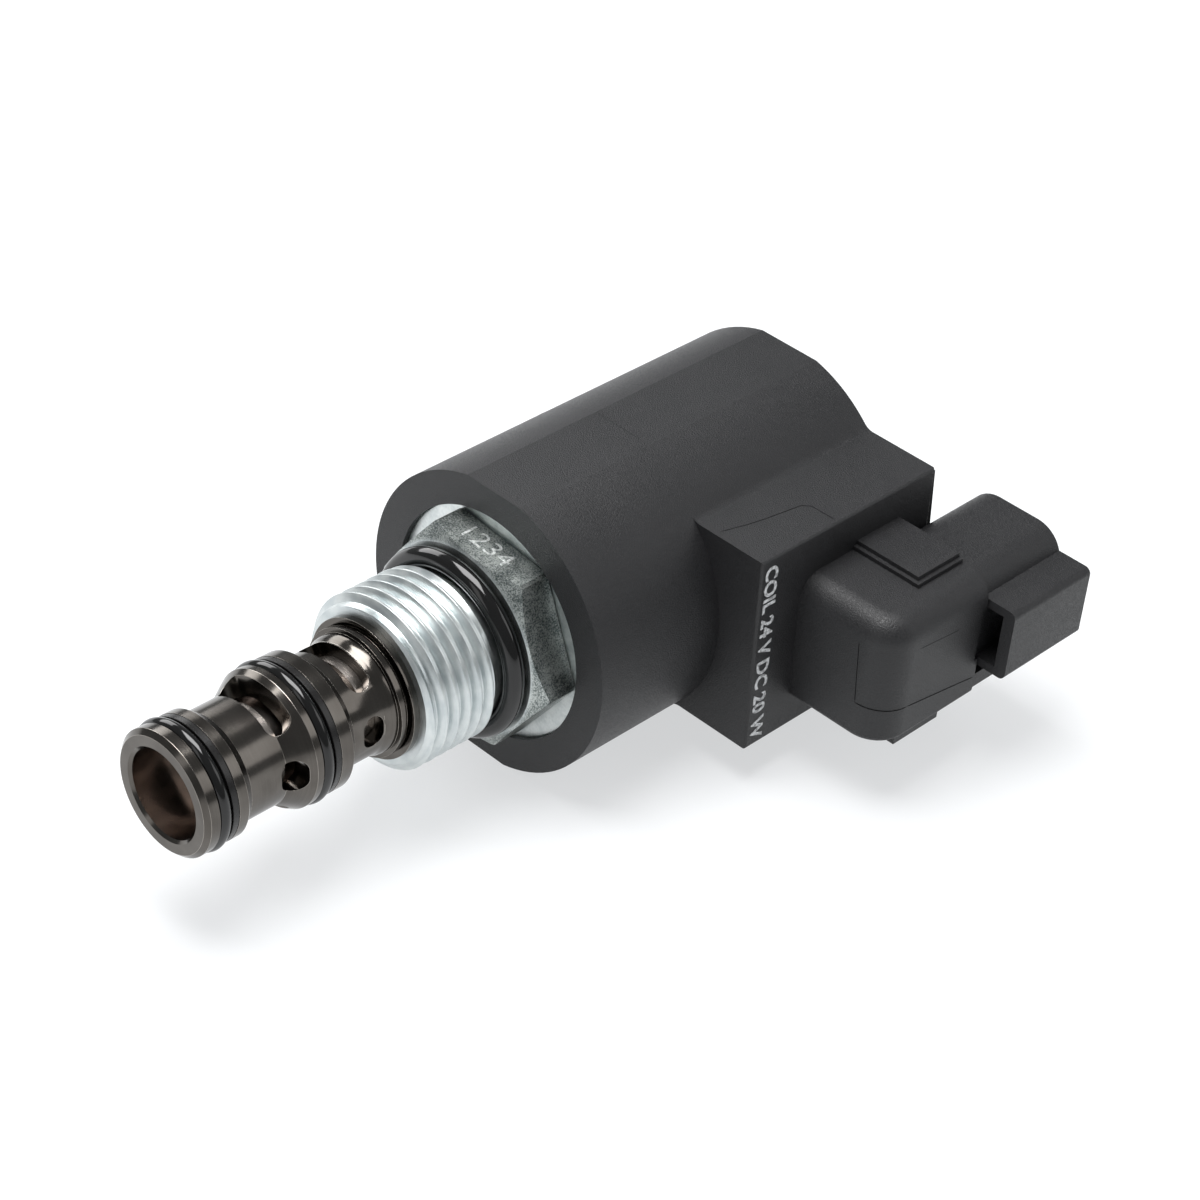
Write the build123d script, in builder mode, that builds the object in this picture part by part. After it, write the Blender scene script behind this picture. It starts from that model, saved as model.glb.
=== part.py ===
from build123d import *
import math
import os

# Solenoid operated screw-in cartridge valve, three ports, lying on its coil.
# The valve's axis is X and millimetres are used throughout. X = 0 is the seat
# face of the hexagon, -X points to the nose, +X to the coil nut, -Y to the
# electrical connector and +Z is up.

os.makedirs("parts", exist_ok=True)

# ---- driving dimensions ------------------------------------------------------

THREAD_R = 11.07        # 7/8-14 UNF, major radius
THREAD_ROOT_R = 9.95    # radius where the lead-in chamfer starts
NECK_R = 9.65           # O-ring neck between thread and hexagon
NECK_LENGTH = 3.0
THREAD_LENGTH = 11.2
HEX_FLATS = 25.4        # 1 inch across flats
HEX_LENGTH = 5.55
HEX_TURN = 6.0          # the hexagon's angle after tightening, degrees
FIT = 0.02              # gap between pieces that are fixed together

CARTRIDGE_NOSE_X = -44.5
NOSE_LAND_R = 7.9       # lands that seal in the bores of the manifold
MIDDLE_LAND_R = 8.68
NOSE_WAIST_R = 6.95
MIDDLE_WAIST_R = 7.2
GROOVE_DEPTH = 1.45
GROOVE_WIDTH = 2.7
SEAL_SECTION_R = 0.85   # O-ring section radius on both lands
BACKUP_WIDTH = 0.85

SPOOL_R = 5.55
SPOOL_CLEARANCE = 0.05
STROKE = 2.5            # travel of armature and spool

TUBE_R = 7.94           # outer radius of the armature's guide tube
TUBE_INNER_R = 7.2
ARMATURE_CLEARANCE = 0.08

COIL_R = 19.6
COIL_FRONT_X = 4.6
COIL_REAR_X = 55.8
COIL_FLAT_Z = 19.06     # height of the two flats on the coil's round body
RECESS_R = 15.27
RECESS_DEPTH = 1.0
FLUX_PLATE_T = 3.0

BLOCK_FRONT_X = 24.4
BLOCK_OUT_Y = 25.0
BLOCK_HALF_Z = 13.7

THREAD_FRONT_X = -(NECK_LENGTH + THREAD_LENGTH)
CAGE_BORE_R = SPOOL_R + SPOOL_CLEARANCE


# ---- small helpers that repeat ----------------------------------------------

def turned(points, mode=Mode.ADD):
    """Turn a closed outline of (x, radius) points about the valve's axis."""
    with BuildSketch(Plane.XY) as outline:
        with BuildLine():
            Polyline(*points, close=True)
        make_face()
    revolve(outline.sketch, axis=Axis.X, mode=mode)


def ring(x_front, x_rear, r_inner, r_outer, mode=Mode.ADD):
    """Turn a plain ring with a rectangular section."""
    turned([(x_front, r_inner), (x_rear, r_inner), (x_rear, r_outer), (x_front, r_outer)], mode)


def o_ring(x_centre, r_centre, section_r):
    """Turn a round seal."""
    with BuildSketch(Plane.XY) as section:
        with Locations((x_centre, r_centre)):
            Circle(section_r)
    revolve(section.sketch, axis=Axis.X)


def outward(x, angle):
    """Plane on the axis whose normal points out at this angle from -Y towards +Z."""
    a = math.radians(angle)
    return Plane(origin=(x, 0, 0), x_dir=(1, 0, 0), z_dir=(0, -math.cos(a), math.sin(a)))


def block(x0, x1, y0, y1, z0, z1, mode=Mode.ADD):
    """Extrude a rectangular block between two corners."""
    with BuildSketch(Plane.YZ.offset(x0)) as outline:
        with Locations(((y0 + y1) / 2, (z0 + z1) / 2)):
            Rectangle(abs(y1 - y0), abs(z1 - z0))
    extrude(outline.sketch, amount=x1 - x0, mode=mode)


def save(piece, name):
    """Label a finished piece and write it to its own file."""
    piece.part.label = name
    export_step(piece.part, "parts/" + name + ".step")


# ---- valve cage ---------------------------------------------------------------
# One hardened steel sleeve: two sealing lands, two rows of milled ports and a
# collared tail that is held inside the threaded adapter.

NOSE_GROOVE_X = -42.6
NOSE_LAND_REAR_X = -38.6
NOSE_WAIST_X = (-37.4, -32.3)
MIDDLE_LAND_X = -29.3
MIDDLE_GROOVE_X = -28.4
MIDDLE_LAND_REAR_X = -24.0
MIDDLE_WAIST_X = (-22.6, -18.0)
COLLAR_R = (7.6, 8.2, 8.95)
COLLAR_X = (-17.1, -16.3, -15.5, -15.1)
COLLAR_GROOVE_R = 7.8
CAGE_SHOULDER_X = -9.0
CAGE_TAIL_X = -4.6
CAGE_TAIL_R = 8.0
CAGE_TAIL_BORE_R = 5.95
NOSE_CHAMFER = 0.6
NOSE_MOUTH_CHAMFER = 0.35

nose_groove_r = NOSE_LAND_R - GROOVE_DEPTH
middle_groove_r = MIDDLE_LAND_R - GROOVE_DEPTH
nose_groove_end = NOSE_GROOVE_X + GROOVE_WIDTH
middle_groove_end = MIDDLE_GROOVE_X + GROOVE_WIDTH

# Each port row: X of its centre and width along X. Two long ports are milled round the
# sleeve in each row, and a short one lies between them on either side.
PORT_ROWS = ((-31.6, 3.0), (-19.65, 3.0))
PORTS = ((90, 33), (270, 33), (3, 4.5), (183, 4.5))     # centre and half angle, degrees

with BuildPart() as valve_cage:
    turned([
        (CARTRIDGE_NOSE_X, CAGE_BORE_R + NOSE_MOUTH_CHAMFER),
        (CARTRIDGE_NOSE_X, NOSE_LAND_R - NOSE_CHAMFER),
        (CARTRIDGE_NOSE_X + NOSE_CHAMFER, NOSE_LAND_R),
        (NOSE_GROOVE_X, NOSE_LAND_R),
        (NOSE_GROOVE_X, nose_groove_r),
        (nose_groove_end, nose_groove_r),
        (nose_groove_end, NOSE_LAND_R),
        (NOSE_LAND_REAR_X, NOSE_LAND_R),
        (NOSE_WAIST_X[0], NOSE_WAIST_R),
        (NOSE_WAIST_X[1], NOSE_WAIST_R),
        (MIDDLE_LAND_X, MIDDLE_LAND_R),
        (MIDDLE_GROOVE_X, MIDDLE_LAND_R),
        (MIDDLE_GROOVE_X, middle_groove_r),
        (middle_groove_end, middle_groove_r),
        (middle_groove_end, MIDDLE_LAND_R),
        (MIDDLE_LAND_REAR_X, MIDDLE_LAND_R),
        (MIDDLE_WAIST_X[0], MIDDLE_WAIST_R),
        (MIDDLE_WAIST_X[1], MIDDLE_WAIST_R),
        (COLLAR_X[0], COLLAR_R[0]),
        (COLLAR_X[1], COLLAR_R[0]),
        (COLLAR_X[1], COLLAR_R[1]),
        (COLLAR_X[2], COLLAR_R[1]),
        (COLLAR_X[2], COLLAR_GROOVE_R),
        (COLLAR_X[3], COLLAR_GROOVE_R),
        (COLLAR_X[3], COLLAR_R[2]),
        (CAGE_SHOULDER_X, COLLAR_R[2]),
        (CAGE_SHOULDER_X, CAGE_TAIL_R),
        (CAGE_TAIL_X, CAGE_TAIL_R),
        (CAGE_TAIL_X, CAGE_TAIL_BORE_R),
        (CAGE_SHOULDER_X, CAGE_BORE_R),
        (CARTRIDGE_NOSE_X + NOSE_MOUTH_CHAMFER, CAGE_BORE_R),
    ])
    for port_x, port_width in PORT_ROWS:
        for centre, half_angle in PORTS:
            # A port is milled round the sleeve, with a round end each way.
            start = outward(0, centre + half_angle)
            slot_plane = Plane(origin=(0, 0, 0), x_dir=(1, 0, 0), z_dir=start.y_dir * -1)
            with BuildSketch(slot_plane):
                with Locations((port_x, THREAD_R - port_width)):
                    Rectangle(port_width, THREAD_R)
            revolve(axis=Axis.X, revolution_arc=2 * half_angle, mode=Mode.SUBTRACT)
            for end in (-half_angle, half_angle):
                with BuildSketch(outward(port_x, centre + end)):
                    Circle(port_width / 2)
                extrude(amount=THREAD_R, mode=Mode.SUBTRACT)
save(valve_cage, "valve_cage")

# ---- seals on the cage ----------------------------------------------------------
# Each land carries a rubber O-ring with a hard backup ring behind it.

SEALS = (
    ("nose", NOSE_GROOVE_X, nose_groove_r, NOSE_LAND_R),
    ("middle", MIDDLE_GROOVE_X, middle_groove_r, MIDDLE_LAND_R),
)
for seal_name, groove_x, groove_r, land_r in SEALS:
    seal_x = groove_x + FIT + SEAL_SECTION_R
    backup_front = groove_x + GROOVE_WIDTH - FIT - BACKUP_WIDTH
    with BuildPart() as land_o_ring:
        o_ring(seal_x, groove_r + FIT + SEAL_SECTION_R, SEAL_SECTION_R)
    save(land_o_ring, seal_name + "_o_ring")
    with BuildPart() as backup_ring:
        ring(backup_front, backup_front + BACKUP_WIDTH, groove_r + FIT, land_r - 2 * FIT)
    save(backup_ring, seal_name + "_backup_ring")

# ---- threaded adapter ------------------------------------------------------------
# The zinc plated steel body: thread, O-ring neck and hexagon. The cage's tail
# sits in its front bore, and the guide tube is brazed into its rear.

LEAD_IN = 0.8
HEX_FACE_R = 12.4
HEX_CHAMFER_ANGLE = 30
ADAPTER_WAY_R = 6.0
TUBE_FRONT_X = 0.5

hex_corner_r = HEX_FLATS / math.sqrt(3)
hex_chamfer_x = (hex_corner_r - HEX_FACE_R) * math.tan(math.radians(HEX_CHAMFER_ANGLE))

with BuildPart() as threaded_adapter:
    with BuildSketch(Plane.YZ):
        RegularPolygon(radius=HEX_FLATS / 2, side_count=6, major_radius=False, rotation=HEX_TURN)
    extrude(amount=HEX_LENGTH)
    turned([
        (0, 0),
        (0, HEX_FACE_R),
        (hex_chamfer_x, hex_corner_r),
        (HEX_LENGTH, hex_corner_r),
        (HEX_LENGTH, 0),
    ], mode=Mode.INTERSECT)
    turned([
        (THREAD_FRONT_X, 0),
        (THREAD_FRONT_X, THREAD_ROOT_R),
        (THREAD_FRONT_X + LEAD_IN, THREAD_R),
        (-NECK_LENGTH, THREAD_R),
        (-NECK_LENGTH, NECK_R),
        (0, NECK_R),
        (0, 0),
    ])
    turned([
        (THREAD_FRONT_X, 0),
        (THREAD_FRONT_X, COLLAR_R[2] + FIT),
        (CAGE_SHOULDER_X + FIT, COLLAR_R[2] + FIT),
        (CAGE_SHOULDER_X + FIT, CAGE_TAIL_R + FIT),
        (CAGE_TAIL_X + FIT, CAGE_TAIL_R + FIT),
        (CAGE_TAIL_X + FIT, ADAPTER_WAY_R),
        (TUBE_FRONT_X, ADAPTER_WAY_R),
        (TUBE_FRONT_X, TUBE_R + FIT),
        (HEX_LENGTH, TUBE_R + FIT),
        (HEX_LENGTH, 0),
    ], mode=Mode.SUBTRACT)
save(threaded_adapter, "threaded_adapter")

PORT_SEAL_SECTION_R = 1.3

with BuildPart() as port_o_ring:
    o_ring(-PORT_SEAL_SECTION_R - FIT, NECK_R + FIT + PORT_SEAL_SECTION_R, PORT_SEAL_SECTION_R)
save(port_o_ring, "port_o_ring")

# ---- spool -------------------------------------------------------------------------
# A hollow steel spool. At rest its long groove joins the middle and rear port
# rows; moved by its stroke, the cross holes join the nose to the middle row.

SPOOL_FRONT_X = -38.0
SPOOL_GROOVE_X = (-31.5, -19.5)
SPOOL_LAND_REAR_X = -13.0
SPOOL_REAR_X = -8.5
SPOOL_GROOVE_R = 4.4
SPOOL_HOLLOW_R = 3.4
SPOOL_HOLLOW_X = -24.0
SPOOL_VENT_R = 1.0
SPOOL_BOSS_R = 4.6
SPOOL_CHAMFER = 0.3
CROSS_HOLE_X = -35.0
CROSS_HOLE_R = 1.2
BALANCE_GROOVES_X = (-37.2, -17.6, -15.6)
BALANCE_GROOVE_W = 0.5
BALANCE_GROOVE_DEPTH = 0.3
T_HEAD_R = 3.1
T_HEAD_X = (-12.2, -10.8)
LINK_R = 1.9
T_SLOT_SPARE = 0.1

with BuildPart() as spool:
    turned([
        (SPOOL_FRONT_X, 0),
        (SPOOL_FRONT_X, SPOOL_R - SPOOL_CHAMFER),
        (SPOOL_FRONT_X + SPOOL_CHAMFER, SPOOL_R),
        (SPOOL_GROOVE_X[0], SPOOL_R),
        (SPOOL_GROOVE_X[0], SPOOL_GROOVE_R),
        (SPOOL_GROOVE_X[1], SPOOL_GROOVE_R),
        (SPOOL_GROOVE_X[1], SPOOL_R),
        (SPOOL_LAND_REAR_X, SPOOL_R),
        (SPOOL_LAND_REAR_X, SPOOL_BOSS_R),
        (SPOOL_REAR_X, SPOOL_BOSS_R),
        (SPOOL_REAR_X, 0),
    ])
    turned([
        (SPOOL_FRONT_X, 0),
        (SPOOL_FRONT_X, SPOOL_HOLLOW_R),
        (SPOOL_HOLLOW_X, SPOOL_HOLLOW_R),
        (SPOOL_HOLLOW_X, SPOOL_VENT_R),
        (SPOOL_REAR_X, SPOOL_VENT_R),
        (SPOOL_REAR_X, 0),
    ], mode=Mode.SUBTRACT)
    for groove_x in BALANCE_GROOVES_X:
        ring(groove_x, groove_x + BALANCE_GROOVE_W, SPOOL_R - BALANCE_GROOVE_DEPTH,
             SPOOL_R + SPOOL_CLEARANCE, mode=Mode.SUBTRACT)
    for quarter in range(4):
        with BuildSketch(outward(CROSS_HOLE_X, 45 + 90 * quarter)):
            Circle(CROSS_HOLE_R)
        extrude(amount=THREAD_R, mode=Mode.SUBTRACT)
    # The T-slot that takes the head of the link rod, open to the top.
    head_half = T_HEAD_R + T_SLOT_SPARE
    block(T_HEAD_X[0] - T_SLOT_SPARE, T_HEAD_X[1] + T_SLOT_SPARE,
          -head_half, head_half, -head_half, SPOOL_R, mode=Mode.SUBTRACT)
    neck_half = LINK_R + T_SLOT_SPARE
    block(T_HEAD_X[1], SPOOL_REAR_X, -neck_half, neck_half, -neck_half, SPOOL_R,
          mode=Mode.SUBTRACT)
save(spool, "spool")

# ---- armature and link rod ------------------------------------------------------------
# A soft iron plunger with two oil grooves, and the rod that pulls the spool.

ARMATURE_X = (0.8, 25.2)
LINK_DEPTH = 8.2
SPRING_BORE_R = 3.3
SPRING_BORE_X = 11.2
OIL_GROOVE_W = 2.2
OIL_GROOVE_DEPTH = 1.2
ARMATURE_CHAMFER = 0.4
armature_r = TUBE_INNER_R - ARMATURE_CLEARANCE

with BuildPart() as armature:
    turned([
        (ARMATURE_X[0], LINK_R + FIT),
        (ARMATURE_X[0], armature_r - ARMATURE_CHAMFER),
        (ARMATURE_X[0] + ARMATURE_CHAMFER, armature_r),
        (ARMATURE_X[1] - ARMATURE_CHAMFER, armature_r),
        (ARMATURE_X[1], armature_r - ARMATURE_CHAMFER),
        (ARMATURE_X[1], SPRING_BORE_R),
        (SPRING_BORE_X, SPRING_BORE_R),
        (SPRING_BORE_X, 0),
        (ARMATURE_X[0] + LINK_DEPTH, 0),
        (ARMATURE_X[0] + LINK_DEPTH, LINK_R + FIT),
    ])
    for side in (-1, 1):
        block(ARMATURE_X[0], ARMATURE_X[1], side * (armature_r - OIL_GROOVE_DEPTH),
              side * TUBE_R, -OIL_GROOVE_W / 2, OIL_GROOVE_W / 2, mode=Mode.SUBTRACT)
save(armature, "armature")

with BuildPart() as link_rod:
    turned([
        (T_HEAD_X[0], 0),
        (T_HEAD_X[0], T_HEAD_R),
        (T_HEAD_X[1], T_HEAD_R),
        (T_HEAD_X[1], LINK_R),
        (ARMATURE_X[0] + LINK_DEPTH - FIT, LINK_R),
        (ARMATURE_X[0] + LINK_DEPTH - FIT, 0),
    ])
save(link_rod, "link_rod")

# ---- guide tube, pole piece and shim ----------------------------------------------------
# The stainless tube, brazed into the adapter and welded to the pole piece, whose
# threaded end holds the coil nut. The brass shim stops the armature sticking.

TUBE_REAR_X = 47.0
POLE_FACE_X = 28.0
POLE_BORE_X = 31.2
STUD_X = (53.4, 60.4)
STUD_R = 7.9
STUD_CHAMFER = 0.7
SHIM_T = 0.25
SHIM_R = (3.6, 6.9)

with BuildPart() as guide_tube:
    ring(TUBE_FRONT_X + FIT, TUBE_REAR_X, TUBE_INNER_R, TUBE_R)
save(guide_tube, "guide_tube")

with BuildPart() as pole_piece:
    turned([
        (POLE_FACE_X, SPRING_BORE_R),
        (POLE_FACE_X, TUBE_INNER_R - FIT),
        (TUBE_REAR_X + FIT, TUBE_INNER_R - FIT),
        (TUBE_REAR_X + FIT, TUBE_R),
        (STUD_X[0], TUBE_R),
        (STUD_X[0], STUD_R),
        (STUD_X[1] - STUD_CHAMFER, STUD_R),
        (STUD_X[1], STUD_R - STUD_CHAMFER),
        (STUD_X[1], 0),
        (POLE_BORE_X, 0),
        (POLE_BORE_X, SPRING_BORE_R),
    ])
save(pole_piece, "pole_piece")

with BuildPart() as shim:
    ring(POLE_FACE_X - FIT - SHIM_T, POLE_FACE_X - FIT, SHIM_R[0], SHIM_R[1])
save(shim, "anti_stick_shim")

# ---- return spring --------------------------------------------------------------------
# It pushes the armature and spool back to the nose when the current stops.

SPRING_WIRE_R = 0.4
SPRING_R = 2.6
SPRING_TURNS = 8
spring_start = SPRING_BORE_X + SPRING_WIRE_R + FIT
spring_length = POLE_BORE_X - SPRING_WIRE_R - FIT - spring_start

with BuildPart() as return_spring:
    with BuildLine() as spring_path:
        Helix(pitch=spring_length / SPRING_TURNS, height=spring_length, radius=SPRING_R,
              center=(spring_start, 0, 0), direction=(1, 0, 0))
    with BuildSketch(Plane(origin=spring_path.line @ 0, z_dir=spring_path.line % 0)):
        Circle(SPRING_WIRE_R)
    sweep(is_frenet=True)
save(return_spring, "return_spring")

# ---- flux path of the coil ---------------------------------------------------------------
# Two washers and a tube of zinc plated steel round the winding.

COIL_GAP = 0.1          # the coil slides over the guide tube
SHELL_R = (15.3, 17.0)
flux_front_x = COIL_FRONT_X + RECESS_DEPTH
flux_rear_x = COIL_REAR_X - RECESS_DEPTH
coil_bore_r = TUBE_R + COIL_GAP
FRONT_SEAL_SECTION_R = 0.7
SEAL_POCKET_R = 9.5
SEAL_POCKET_DEPTH = 1.5
LEAD_X = 44.0           # where the winding's ends come out
LEAD_Z = 2.8            # half the spacing of the two contact pins
WINDOW_HALF_X = 1.7
WINDOW_HALF_Z = 4.2

with BuildPart() as front_flux_plate:
    ring(flux_front_x, flux_front_x + FLUX_PLATE_T, coil_bore_r, SHELL_R[0] - FIT)
    ring(flux_front_x, flux_front_x + SEAL_POCKET_DEPTH, coil_bore_r, SEAL_POCKET_R,
         mode=Mode.SUBTRACT)
save(front_flux_plate, "front_flux_plate")

with BuildPart() as coil_front_seal:
    o_ring(flux_front_x + SEAL_POCKET_DEPTH / 2, TUBE_R + FIT + FRONT_SEAL_SECTION_R,
           FRONT_SEAL_SECTION_R)
save(coil_front_seal, "coil_front_seal")

with BuildPart() as rear_flux_plate:
    ring(flux_rear_x - FLUX_PLATE_T, flux_rear_x, coil_bore_r, SHELL_R[0] - FIT)
save(rear_flux_plate, "rear_flux_plate")

with BuildPart() as flux_shell:
    ring(flux_front_x, flux_rear_x, SHELL_R[0], SHELL_R[1])
    block(LEAD_X - WINDOW_HALF_X, LEAD_X + WINDOW_HALF_X, -COIL_R, 0,
          -WINDOW_HALF_Z, WINDOW_HALF_Z, mode=Mode.SUBTRACT)
save(flux_shell, "flux_shell")

# ---- bobbin and winding ---------------------------------------------------------------------

BOBBIN_WALL = 1.0
BOBBIN_FLANGE_T = 1.4
BOBBIN_FLANGE_R = 15.0
WINDING_R = 14.2
bobbin_front = flux_front_x + FLUX_PLATE_T + FIT
bobbin_rear = flux_rear_x - FLUX_PLATE_T - FIT
barrel_r = coil_bore_r + BOBBIN_WALL

with BuildPart() as bobbin:
    ring(bobbin_front, bobbin_rear, coil_bore_r, barrel_r)
    ring(bobbin_front, bobbin_front + BOBBIN_FLANGE_T, coil_bore_r, BOBBIN_FLANGE_R)
    ring(bobbin_rear - BOBBIN_FLANGE_T, bobbin_rear, coil_bore_r, BOBBIN_FLANGE_R)
save(bobbin, "bobbin")

with BuildPart() as winding:
    ring(bobbin_front + BOBBIN_FLANGE_T + FIT, bobbin_rear - BOBBIN_FLANGE_T - FIT,
         barrel_r + FIT, WINDING_R)
save(winding, "copper_winding")

# ---- contact pins, leads and diode --------------------------------------------------------------
# Each bent pin runs from the winding's lead to the mouth of the connector.

PIN_R = 0.75
PIN_Y = -32.4
PIN_START_Y = -20.0
PIN_TIP_X = 60.2
PIN_BEND_R = 2.0
LEAD_R = 0.4
DIODE_X = 47.0
DIODE_Y = -21.6
DIODE_R = 1.3
DIODE_HALF = 2.1
DIODE_WIRE_R = 0.3
lead_start_y = -(WINDING_R + FIT)

for pin_name, pin_z in (("upper", LEAD_Z), ("lower", -LEAD_Z)):
    with BuildPart() as contact_pin:
        with BuildLine() as pin_path:
            FilletPolyline((LEAD_X, PIN_START_Y, pin_z), (LEAD_X, PIN_Y, pin_z),
                           (PIN_TIP_X, PIN_Y, pin_z), radius=PIN_BEND_R)
        with BuildSketch(Plane(origin=pin_path.line @ 0, z_dir=pin_path.line % 0)):
            Circle(PIN_R)
        sweep()
        pin_tip = contact_pin.faces().sort_by(Axis.X)[-1]
        fillet(pin_tip.edges(), radius=PIN_R / 2)
    save(contact_pin, "contact_pin_" + pin_name)
    with BuildPart() as lead_wire:
        with BuildSketch(Plane(origin=(LEAD_X, PIN_START_Y + FIT, pin_z), z_dir=(0, 1, 0))):
            Circle(LEAD_R)
        extrude(amount=lead_start_y - PIN_START_Y - FIT)
    save(lead_wire, "lead_wire_" + pin_name)

with BuildPart() as diode:
    with BuildLine() as diode_path:
        Polyline((LEAD_X + PIN_R + FIT, DIODE_Y, LEAD_Z), (DIODE_X, DIODE_Y, LEAD_Z),
                 (DIODE_X, DIODE_Y, -LEAD_Z), (LEAD_X + PIN_R + FIT, DIODE_Y, -LEAD_Z))
    with BuildSketch(Plane(origin=diode_path.line @ 0, z_dir=diode_path.line % 0)):
        Circle(DIODE_WIRE_R)
    sweep(transition=Transition.RIGHT)
    with BuildSketch(Plane(origin=(DIODE_X, DIODE_Y, -DIODE_HALF), z_dir=(0, 0, 1))):
        Circle(DIODE_R)
    extrude(amount=2 * DIODE_HALF)
save(diode, "suppression_diode")

# ---- coil housing --------------------------------------------------------------------------------
# One moulding of glass filled nylon round the coil: the round body with two
# flats, the terminal block on its side, and the elbow with the connector shell.

BLOCK_EDGE = 0.4
BLOCK_DRAFT = 0.9       # the block's outer face leans out by this much at the bottom
BLOCK_SWELL = ((55.0, 13.4), (55.8, 13.4), (56.5, 6.0), (57.05, 0.0), (56.5, -6.0), (55.8, -13.4), (55.0, -13.4))
BLOCK_SWELL_Y = (-18.0, -25.0)
BLEND_R = 2.0
ELBOW_X = (31.8, 49.6)
ELBOW_Y = (-24.0, -40.0)
ELBOW_HALF_Z = 8.2
ELBOW_BOTTOM_Z = -9.2
ELBOW_CORNER_R = 4.5
ELBOW_EDGE_R = (0.8, 3.2)    # below and above
PADS = (                # x, y and z of the raised pads on the elbow and of the rib below the shell
    (41.2, 49.6, -24.0, -35.4, 7.1, 8.75),
    (41.8, 49.6, -24.0, -34.8, 7.1, 9.3),
    (35.4, 43.6, -27.0, -39.6, -10.0, -8.1),
    (48.0, 54.4, -34.0, -39.8, -8.45, -6.4),
)
SHROUD_X = (49.0, 64.8)
SHROUD_Y = (-24.9, -39.3)
SHROUD_HALF_Z = 7.65
SHROUD_CORNER_R = 4.2
SHROUD_WALL = 1.7
SOCKET_FLOOR_X = 52.2
LATCH_X = 50.0
LATCH_Y = (-38.0, -44.0)
LATCH_HALF_Z = 5.0
LATCH_WALL = 1.7
LATCH_EDGE = 0.9
LATCH_SLOT_Y = (-39.3, -42.3)
LATCH_SLOT_HALF_Z = 3.8
PIN_TUNNEL_R = 0.8
POCKET_X = (42.6, 48.6)
POCKET_Y = (-16.0, -23.2)
POCKET_HALF_Z = 3.9
shroud_mid_y = (SHROUD_Y[0] + SHROUD_Y[1]) / 2
shroud_width = SHROUD_Y[0] - SHROUD_Y[1]

with BuildPart() as coil_housing:
    with BuildSketch(Plane.YZ.offset(COIL_FRONT_X)):
        Circle(COIL_R)
        Rectangle(2 * COIL_R, 2 * COIL_FLAT_Z, mode=Mode.INTERSECT)
    extrude(amount=COIL_REAR_X - COIL_FRONT_X)
    with BuildSketch(Plane.YZ.offset(BLOCK_FRONT_X)) as block_outline:
        with BuildLine():
            Polyline((0, -BLOCK_HALF_Z), (0, BLOCK_HALF_Z), (-BLOCK_OUT_Y, BLOCK_HALF_Z),
                     (-BLOCK_OUT_Y - BLOCK_DRAFT, -BLOCK_HALF_Z), close=True)
        make_face()
    extrude(block_outline.sketch, amount=COIL_REAR_X - BLOCK_FRONT_X)
    corner_edges = coil_housing.faces().sort_by(Axis.Y)[0].edges()
    fillet(corner_edges, radius=BLOCK_EDGE)
    blend_edges = (
        coil_housing.edges().filter_by(Axis.X)
        .filter_by_position(Axis.Y, -COIL_R + 1, -BLOCK_HALF_Z / 2)
        .filter_by(lambda e: abs(abs(e.center().Z) - BLOCK_HALF_Z) < FIT)
    )
    fillet(blend_edges, radius=BLEND_R)
    # The block's rear face swells out towards its middle.
    with BuildSketch(Plane.XZ.offset(-BLOCK_SWELL_Y[0])) as swell:
        with BuildLine():
            Polyline(*BLOCK_SWELL, close=True)
        make_face()
    extrude(swell.sketch, amount=BLOCK_SWELL_Y[0] - BLOCK_SWELL_Y[1])

with BuildPart() as elbow:
    block(ELBOW_X[0], ELBOW_X[1], ELBOW_Y[0], ELBOW_Y[1], ELBOW_BOTTOM_Z, ELBOW_HALF_Z)
    corner = elbow.edges().filter_by(Axis.Z).filter_by_position(Axis.X, ELBOW_X[0] - 1, ELBOW_X[0] + 1)
    fillet(corner.sort_by(Axis.Y)[0], radius=ELBOW_CORNER_R)
    for side, rim_r in ((0, ELBOW_EDGE_R[0]), (-1, ELBOW_EDGE_R[1])):
        rim = elbow.faces().sort_by(Axis.Z)[side].edges()
        outer_rim = rim.filter_by(lambda e: e.center().Y < ELBOW_Y[0] - 1 and e.center().X < ELBOW_X[1] - 1)
        fillet(outer_rim, radius=rim_r)
    for x0, x1, y0, y1, z0, z1 in PADS:
        block(x0, x1, y0, y1, z0, z1)

with BuildPart() as shell:
    with BuildSketch(Plane.YZ.offset(SHROUD_X[0])):
        with Locations((shroud_mid_y, 0)):
            RectangleRounded(shroud_width, 2 * SHROUD_HALF_Z, SHROUD_CORNER_R)
    extrude(amount=SHROUD_X[1] - SHROUD_X[0])
    block(LATCH_X, SHROUD_X[1], LATCH_Y[0], LATCH_Y[1], -LATCH_HALF_Z, LATCH_HALF_Z)
    latch_edges = shell.edges().filter_by(Axis.X).filter_by_position(Axis.Y, LATCH_Y[1] - FIT, LATCH_Y[1] + FIT)
    fillet(latch_edges, radius=LATCH_EDGE)

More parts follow.
